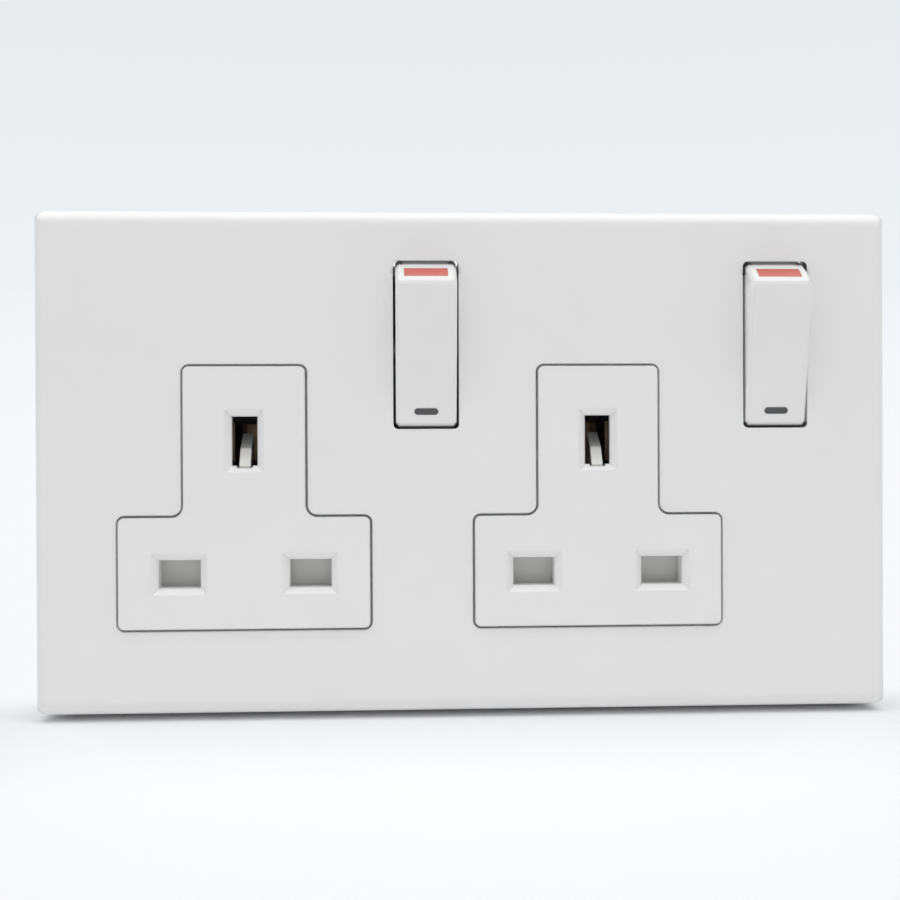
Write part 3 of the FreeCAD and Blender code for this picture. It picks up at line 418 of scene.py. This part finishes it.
def rocker_shade_spots(tree):
    """Where painted shade goes: one in the gap under a rocker and at its opening's top corners, and zero
    elsewhere.
    """
    spots = []
    for side in SIDES:
        x, _, z = joint_named("rocker_pivot_" + side)["pos_m"]
        flat = (1, 0, CREVICE_FLATNESS)
        spots.append(within(tree, (x, 0.0, z - ROCKER_GAP_DROP), flat, CREVICE_LENGTH))
        for hand in (-1, 1):
            corner = (x + hand * ROCKER_CORNER[0], 0.0, z + ROCKER_CORNER[1])
            spots.append(within(tree, corner, (1, 0, 1), CREVICE_CORNER))
    widest = spots[0]
    for spot in spots[1:]:
        widest = arithmetic(tree, "MAXIMUM", widest, spot)
    return widest


def painted_gap_light(tree, colour):
    """Painted light: a colour turned paler in narrow gaps, where other surfaces close in."""
    levels = (grey(1.0), grey(0.0))
    closed = ramp_between(tree, openness(tree, PAINTED_GAP_REACH), PAINTED_GAP_OPENNESS, levels)
    return colour_mix(tree, closed, colour, (*GAP_PAINTED_LIGHT, 1.0))


def painted_crevice_shade(tree, colour):
    """Painted shade: a colour darkened where other surfaces close in, in the gap under a rocker and at
    its opening's top corners.
    """
    levels = (grey(CREVICE_PAINTED_SHADE), grey(1.0))
    shade = ramp_between(tree, openness(tree, CREVICE_REACH), CREVICE_OPENNESS, levels)
    return colour_mix(tree, rocker_shade_spots(tree), colour, shade, "MULTIPLY")


def painted_nose_light(tree, colour):
    """Painted light: a colour turned paler on the front of a fin."""
    painted_share = spread(tree, along(tree, object_place(tree), "Y"), LIT_NOSE_DEPTHS)
    return colour_mix(tree, painted_share, colour, (*NOSE_PAINTED_LIGHT, 1.0))


def painted_end_shade(tree, colour):
    """Painted shade: a colour a little darker on the sloped top end of a rocker."""
    pivot = joint_named("rocker_pivot_left")["pos_m"]
    limits = [pivot[2] + height for height in SHADED_END_HEIGHTS]
    painted_share = spread(tree, along(tree, object_place(tree), "Z"), limits)
    return colour_mix(tree, painted_share, colour, (*END_PAINTED_SHADE, 1.0))


def soften_rim(material):
    """Widen the softened edge towards the outer rim of the cover."""
    tree = material.node_tree
    outwards = vector_result(tree, "ABSOLUTE", "Vector", object_place(tree))
    radii = []
    for axis, half in (("X", cad_bounds[1][0]), ("Z", cad_bounds[1][2])):
        limits = (half - RIM_START, half - RIM_FULL)
        radii.append(spread(tree, along(tree, outwards, axis), limits, (PLAIN_EDGE, RIM_EDGE)))
    rounding = next(node for node in tree.nodes if node.bl_idname == "ShaderNodeBevel")
    tree.links.new(arithmetic(tree, "MAXIMUM", *radii), rounding.inputs["Radius"])


def make_materials():
    """The finishes of the object, by the record's slots."""
    finishes = {slot: moulded_plastic(*values) for slot, values in PLASTICS.items()}
    finishes.update({slot: stamped_metal(*values) for slot, values in METALS.items()})
    soften_rim(finishes["cover_plate"])
    # Painted light in the narrow gaps of the cover and the moulding
    recolour(finishes["cover_plate"], painted_gap_light)
    recolour(finishes["front_moulding"], painted_gap_light)
    # Painted shade on the rockers' sloped top ends
    recolour(finishes["rocker"], painted_end_shade)
    # Painted light on the fins' noses
    recolour(finishes["shutter"], painted_nose_light)
    # Painted shade in the gaps at the rockers
    for slot in ("cover_plate", "front_moulding", "rocker"):
        recolour(finishes[slot], painted_crevice_shade)
    return finishes


def dress_nodes(finishes):
    """Give each carried-over node the finish of its slot."""
    for part in frame["record"]["subparts"]:
        node = frame["nodes"][part["node"]]
        node.data.materials.clear()
        node.data.materials.append(finishes[part["material_slot"]])


def make_mesh(name, points, faces):
    """A smooth mesh object from arrays of points and faces."""
    mesh = bpy.data.meshes.new(name)
    mesh.from_pydata(np.asarray(points).tolist(), [], list(faces))
    mesh.shade_smooth()
    piece = bpy.data.objects.new(name, mesh)
    bpy.context.scene.collection.objects.link(piece)
    return piece


def coil_spring(name, start, end, radius, wire, turns):
    """Round wire along a helix: it climbs one wire's thickness in each end turn and evenly in between.

    A point of the tube is the helix point, plus half the wire along the radius and the axis by turns."""
    start, end = np.array(start), np.array(end)
    length = np.linalg.norm(end - start)
    axis = (end - start) / length
    other = (1.0, 0.0, 0.0) if abs(axis[0]) < 0.9 else (0.0, 1.0, 0.0)
    side = np.cross(axis, other)
    side = side / np.linalg.norm(side)
    across = np.cross(axis, side)
    turn = np.linspace(0.0, turns, turns * SPRING_STEPS + 1)
    climb = [0.0, wire, length - 2 * wire, length - wire]
    height = wire / 2 + np.interp(turn, [0.0, 1.0, turns - 1.0, turns], climb)
    angle = 2 * math.pi * turn
    outward = np.cos(angle)[:, None] * side + np.sin(angle)[:, None] * across
    line = start + height[:, None] * axis + (radius - wire / 2) * outward
    section = 2 * math.pi * np.arange(WIRE_SIDES) / WIRE_SIDES
    swing = np.cos(section)[None, :, None] * outward[:, None, :] + np.sin(section)[None, :, None] * axis
    points = (line[:, None, :] + wire / 2 * swing).reshape(-1, 3)
    ring = np.arange(len(turn) - 1)[:, None] * WIRE_SIDES
    spot = np.arange(WIRE_SIDES)[None, :]
    near, far = ring + spot, ring + (spot + 1) % WIRE_SIDES
    quads = np.stack([near, near + WIRE_SIDES, far + WIRE_SIDES, far], axis=-1)
    last = len(points) - 1
    caps = [list(range(WIRE_SIDES)), list(range(last, last - WIRE_SIDES, -1))]
    return make_mesh(name, points, quads.reshape(-1, 4).tolist() + caps)


def finish_spring(spring, node, body, finishes):
    """Put a spring in its stand-in's place.

    It rides on what holds its fixed end."""
    spring.data.materials.append(finishes["spring_steel"])
    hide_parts(node)
    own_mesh(spring)
    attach(spring, body)


def shutter_spring(side, finishes):
    """The spring under a shutter, upright between its ledge and the shutter's notch."""
    node = "shutter_spring_" + side
    low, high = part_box(node)
    foot = ((low.x + high.x) / 2, (low.y + high.y) / 2, low.z)
    top = (foot[0], foot[1], high.z)
    radius = (high.x - low.x) / 2
    name = "shutter_coil_" + side
    spring = coil_spring(name, foot, top, radius, SHUTTER_SPRING_WIRE, SHUTTER_SPRING_TURNS)
    finish_spring(spring, node, "socket", finishes)


def rocker_spring(side, finishes):
    """The spring inside a rocker's post, which presses the plunger out along the post."""
    joint = joint_named("plunger_slide_" + side)
    pivot = np.array(joint_named("rocker_pivot_" + side)["pos_m"])
    out = -np.array(joint["axis"])
    low, high = (pivot + reach * out for reach in ROCKER_SPRING_REACH)
    name = "rocker_coil_" + side
    spring = coil_spring(name, low, high, ROCKER_SPRING_RADIUS, ROCKER_SPRING_WIRE, ROCKER_SPRING_TURNS)
    node, body = "rocker_spring_" + side, "rocker_" + side
    finish_spring(spring, node, body, finishes)


def make_table():
    """A pale table top that meets the plate's rear bottom edge and slopes down towards the camera.

    Height is the edge's height plus the slope times the depth past it, on a grid that widens outwards."""
    step = np.linspace(-1, 1, TABLE_CELLS + 1)
    reach = TABLE_REACH * np.sign(step) * np.abs(step) ** 3
    x, y = np.meshgrid(reach, reach, indexing="ij")
    z = cad_bounds[0][2] + TABLE_SLOPE * (y - TABLE_EDGE_Y)
    points = np.stack([x, y, z], axis=-1).reshape(-1, 3)
    row = np.arange(TABLE_CELLS)
    first = (row[:, None] * (TABLE_CELLS + 1) + row[None, :]).ravel()
    across = first + TABLE_CELLS + 1
    faces = np.stack([first, across, across + 1, first + 1], axis=1).tolist()
    table = make_mesh("table", points, faces)
    table.data.materials.append(table_material())


def glow_aside(tree, place):
    """One on the table beside the object and behind its front, fading to zero elsewhere."""
    across = along(tree, vector_result(tree, "ABSOLUTE", "Vector", place), "X")
    beside = spread(tree, across, GLOW_BESIDE, curve="SMOOTHERSTEP")
    behind = spread(tree, along(tree, place, "Y"), GLOW_BEHIND, curve="SMOOTHERSTEP")
    return arithmetic(tree, "MULTIPLY", beside, behind)


def table_material():
    """Matt white near the object, fading with distance to the glow of the lit room.

    It is seen a little greyer than it is, as an exposure for white things shows it."""
    material, tree, shader = principled("table_white", TABLE_WHITE, TABLE_ROUGHNESS)
    shader.inputs["Specular IOR Level"].default_value = TABLE_SPECULAR
    path = tree.nodes.new("ShaderNodeLightPath")
    bounce = path.outputs["Is Diffuse Ray"]
    seen = colour_mix(tree, bounce, (*TABLE_WHITE, 1.0), (*TABLE_BOUNCE, 1.0))
    tree.links.new(seen, shader.inputs["Base Color"])
    place = object_place(tree)
    distance = vector_result(tree, "LENGTH", "Value", place)
    share = arithmetic(tree, "DIVIDE", distance, arithmetic(tree, "ADD", distance, GLOW_HALFWAY))
    glow_colour = ramp_between(tree, share, GLOW_FADE, (GLOW_NEAR, GLOW_FAR))
    glow = add_node(tree, "ShaderNodeEmission", {"Color": glow_colour})
    away = spread(tree, distance, GLOW_AWAY)
    glowing = arithmetic(tree, "MAXIMUM", away, glow_aside(tree, place))
    inputs = {"Fac": glowing, 1: shader.outputs["BSDF"], 2: glow.outputs["Emission"]}
    mix = add_node(tree, "ShaderNodeMixShader", inputs)
    tree.links.new(mix.outputs["Shader"], tree.nodes["Material Output"].inputs["Surface"])
    return material


scene_settings()
make_camera()
make_room()
make_lamp()
make_table()
slot_finishes = make_materials()
dress_nodes(slot_finishes)
for hand in SIDES:
    shutter_spring(hand, slot_finishes)
    rocker_spring(hand, slot_finishes)
